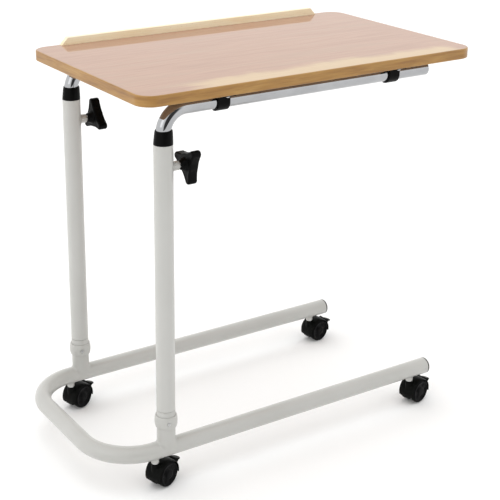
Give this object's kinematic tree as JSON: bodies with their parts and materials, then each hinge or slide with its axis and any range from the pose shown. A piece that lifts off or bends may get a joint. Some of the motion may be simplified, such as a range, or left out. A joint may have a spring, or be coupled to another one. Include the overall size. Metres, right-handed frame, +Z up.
{
  "type": "overbed table",
  "caption": "Height-adjustable overbed table: laminated board with a book lip, tilting on twin telescopic posts, on a U-shaped tube base with braked twin-wheel castors.",
  "frame": {"origin": "on the floor, under the middle of the outline of the whole table at rest", "axes": "+Z up; +X along the board, away from the posts and towards the open ends of the base legs; +Y from the board's plain edge to its book-lip edge"},
  "size_m": [0.6626, 0.36, 0.641],
  "materials": {
    "white_paint": "satin off-white powder coat",
    "chrome": "bright chrome plate",
    "zinc": "bright zinc plate",
    "black_plastic": "fine-grained black moulding",
    "glide_plastic": "smooth black nylon",
    "knob_plastic": "semi-gloss black moulding",
    "castor_plastic": "semi-gloss black moulding",
    "wheel_plastic": "smooth black nylon",
    "wood_laminate": "high-gloss wood-grain laminate",
    "chipboard": "raw pressed board with a plain backing",
    "edge_band": "satin brown wood-grain edging",
    "lip_wood": "satin lacquered pale wood"
  },
  "bodies": {
    "base": {"base_tube": "white_paint", "front_leg_cap": "black_plastic", "rear_leg_cap": "black_plastic", "front_socket": "white_paint", "rear_socket": "white_paint", "front_ring": "white_paint", "rear_ring": "white_paint", "ring_screws": "zinc", "castor_bosses": "white_paint", "castor_stems": "zinc", "front_post": "white_paint", "rear_post": "white_paint", "front_nut": "white_paint", "rear_nut": "white_paint", "front_collar": "black_plastic", "rear_collar": "black_plastic"},
    "rear_arm_set": {"rear_arm": "chrome", "rear_glide": "glide_plastic", "rear_arm_plug": "black_plastic"},
    "front_arm_set": {"front_arm": "chrome", "front_glide": "glide_plastic", "front_arm_plug": "black_plastic"},
    "top": {"board_core": "chipboard", "top_laminate": "wood_laminate", "edge_band": "edge_band", "book_lip": "lip_wood", "lip_screws": "zinc", "front_inner_clip": "black_plastic", "front_outer_clip": "black_plastic", "rear_inner_clip": "black_plastic", "rear_outer_clip": "black_plastic", "clip_screws": "zinc"},
    "front_clamp": {"front_pad": "zinc"},
    "front_clamp_knob": {"front_stud": "zinc", "front_knob": "knob_plastic"},
    "rear_clamp": {"rear_pad": "zinc"},
    "rear_clamp_knob": {"rear_stud": "zinc", "rear_knob": "knob_plastic"},
    "front_left_castor": {"front_left_hood": "castor_plastic", "front_left_axle": "zinc"},
    "front_left_near_roller": {"front_left_near_wheel": "wheel_plastic"},
    "front_left_far_roller": {"front_left_far_wheel": "wheel_plastic"},
    "front_left_pedal": {"front_left_brake": "castor_plastic"},
    "rear_left_castor": {"rear_left_hood": "castor_plastic", "rear_left_axle": "zinc"},
    "rear_left_near_roller": {"rear_left_near_wheel": "wheel_plastic"},
    "rear_left_far_roller": {"rear_left_far_wheel": "wheel_plastic"},
    "rear_left_pedal": {"rear_left_brake": "castor_plastic"},
    "front_right_castor": {"front_right_hood": "castor_plastic", "front_right_axle": "zinc"},
    "front_right_near_roller": {"front_right_near_wheel": "wheel_plastic"},
    "front_right_far_roller": {"front_right_far_wheel": "wheel_plastic"},
    "front_right_pedal": {"front_right_brake": "castor_plastic"},
    "rear_right_castor": {"rear_right_hood": "castor_plastic", "rear_right_axle": "zinc"},
    "rear_right_near_roller": {"rear_right_near_wheel": "wheel_plastic"},
    "rear_right_far_roller": {"rear_right_far_wheel": "wheel_plastic"},
    "rear_right_pedal": {"rear_right_brake": "castor_plastic"}
  },
  "joints": [
    {"name": "height", "type": "slide", "parent": "base", "child": "rear_arm_set", "axis": [0, 0, 1], "range_m": [0, 0.22]},
    {"name": "front_lift", "type": "slide", "parent": "rear_arm_set", "child": "front_arm_set", "axis": [0, 0, 1], "range_m": [0, 0.0771]},
    {"name": "tilt", "type": "hinge", "parent": "front_arm_set", "child": "top", "pos_m": [-0.21775, -0.145, 0.598], "axis": [-1, 0, 0], "range_deg": [0, 15]},
    {"name": "front_clamp_travel", "type": "slide", "parent": "base", "child": "front_clamp", "axis": [1, 0, 0], "range_m": [0, 0.0026]},
    {"name": "front_knob_turn", "type": "hinge", "parent": "front_clamp", "child": "front_clamp_knob", "pos_m": [-0.18775, -0.145, 0.513], "axis": [1, 0, 0], "range_deg": [0, 720]},
    {"name": "rear_clamp_travel", "type": "slide", "parent": "base", "child": "rear_clamp", "axis": [1, 0, 0], "range_m": [0, 0.0026]},
    {"name": "rear_knob_turn", "type": "hinge", "parent": "rear_clamp", "child": "rear_clamp_knob", "pos_m": [-0.18775, 0.145, 0.513], "axis": [1, 0, 0], "range_deg": [0, 720]},
    {"name": "front_left_swivel", "type": "hinge", "parent": "base", "child": "front_left_castor", "pos_m": [-0.23775, -0.145, 0.04], "axis": [0, 0, 1], "continuous": true},
    {"name": "front_left_near_roll", "type": "hinge", "parent": "front_left_castor", "child": "front_left_near_roller", "pos_m": [-0.22234, -0.13969, 0.0205], "axis": [-0.3256, 0.9455, 0], "continuous": true},
    {"name": "front_left_far_roll", "type": "hinge", "parent": "front_left_castor", "child": "front_left_far_roller", "pos_m": [-0.22234, -0.13969, 0.0205], "axis": [-0.3256, 0.9455, 0], "continuous": true},
    {"name": "front_left_brake_press", "type": "hinge", "parent": "front_left_castor", "child": "front_left_pedal", "pos_m": [-0.1998, -0.13193, 0.03318], "axis": [-0.3256, 0.9455, 0], "range_deg": [0, 18]},
    {"name": "rear_left_swivel", "type": "hinge", "parent": "base", "child": "rear_left_castor", "pos_m": [-0.23775, 0.145, 0.04], "axis": [0, 0, 1], "continuous": true},
    {"name": "rear_left_near_roll", "type": "hinge", "parent": "rear_left_castor", "child": "rear_left_near_roller", "pos_m": [-0.22264, 0.15111, 0.0205], "axis": [-0.3746, 0.9272, 0], "continuous": true},
    {"name": "rear_left_far_roll", "type": "hinge", "parent": "rear_left_castor", "child": "rear_left_far_roller", "pos_m": [-0.22264, 0.15111, 0.0205], "axis": [-0.3746, 0.9272, 0], "continuous": true},
    {"name": "rear_left_brake_press", "type": "hinge", "parent": "rear_left_castor", "child": "rear_left_pedal", "pos_m": [-0.20053, 0.16004, 0.03318], "axis": [-0.3746, 0.9272, 0], "range_deg": [0, 18]},
    {"name": "front_right_swivel", "type": "hinge", "parent": "base", "child": "front_right_castor", "pos_m": [0.26925, -0.145, 0.04], "axis": [0, 0, 1], "continuous": true},
    {"name": "front_right_near_roll", "type": "hinge", "parent": "front_right_castor", "child": "front_right_near_roller", "pos_m": [0.28519, -0.14161, 0.0205], "axis": [-0.2079, 0.9781, 0], "continuous": true},
    {"name": "front_right_far_roll", "type": "hinge", "parent": "front_right_castor", "child": "front_right_far_roller", "pos_m": [0.28519, -0.14161, 0.0205], "axis": [-0.2079, 0.9781, 0], "continuous": true},
    {"name": "front_right_brake_press", "type": "hinge", "parent": "front_right_castor", "child": "front_right_pedal", "pos_m": [0.30851, -0.13665, 0.03318], "axis": [-0.2079, 0.9781, 0], "range_deg": [0, 18]},
    {"name": "rear_right_swivel", "type": "hinge", "parent": "base", "child": "rear_right_castor", "pos_m": [0.26925, 0.145, 0.04], "axis": [0, 0, 1], "continuous": true},
    {"name": "rear_right_near_roll", "type": "hinge", "parent": "rear_right_castor", "child": "rear_right_near_roller", "pos_m": [0.28539, 0.14727, 0.0205], "axis": [-0.1392, 0.9903, 0], "continuous": true},
    {"name": "rear_right_far_roll", "type": "hinge", "parent": "rear_right_castor", "child": "rear_right_far_roller", "pos_m": [0.28539, 0.14727, 0.0205], "axis": [-0.1392, 0.9903, 0], "continuous": true},
    {"name": "rear_right_brake_press", "type": "hinge", "parent": "rear_right_castor", "child": "rear_right_pedal", "pos_m": [0.309, 0.15059, 0.03318], "axis": [-0.1392, 0.9903, 0], "range_deg": [0, 18]}
  ],
  "couplings": [
    {"joint": "front_lift", "follows": "tilt", "m_per_rad": 0.2945},
    {"joint": "front_clamp_travel", "follows": "front_knob_turn", "m_per_rad": 0.00019894},
    {"joint": "rear_clamp_travel", "follows": "rear_knob_turn", "m_per_rad": 0.00019894}
  ]
}
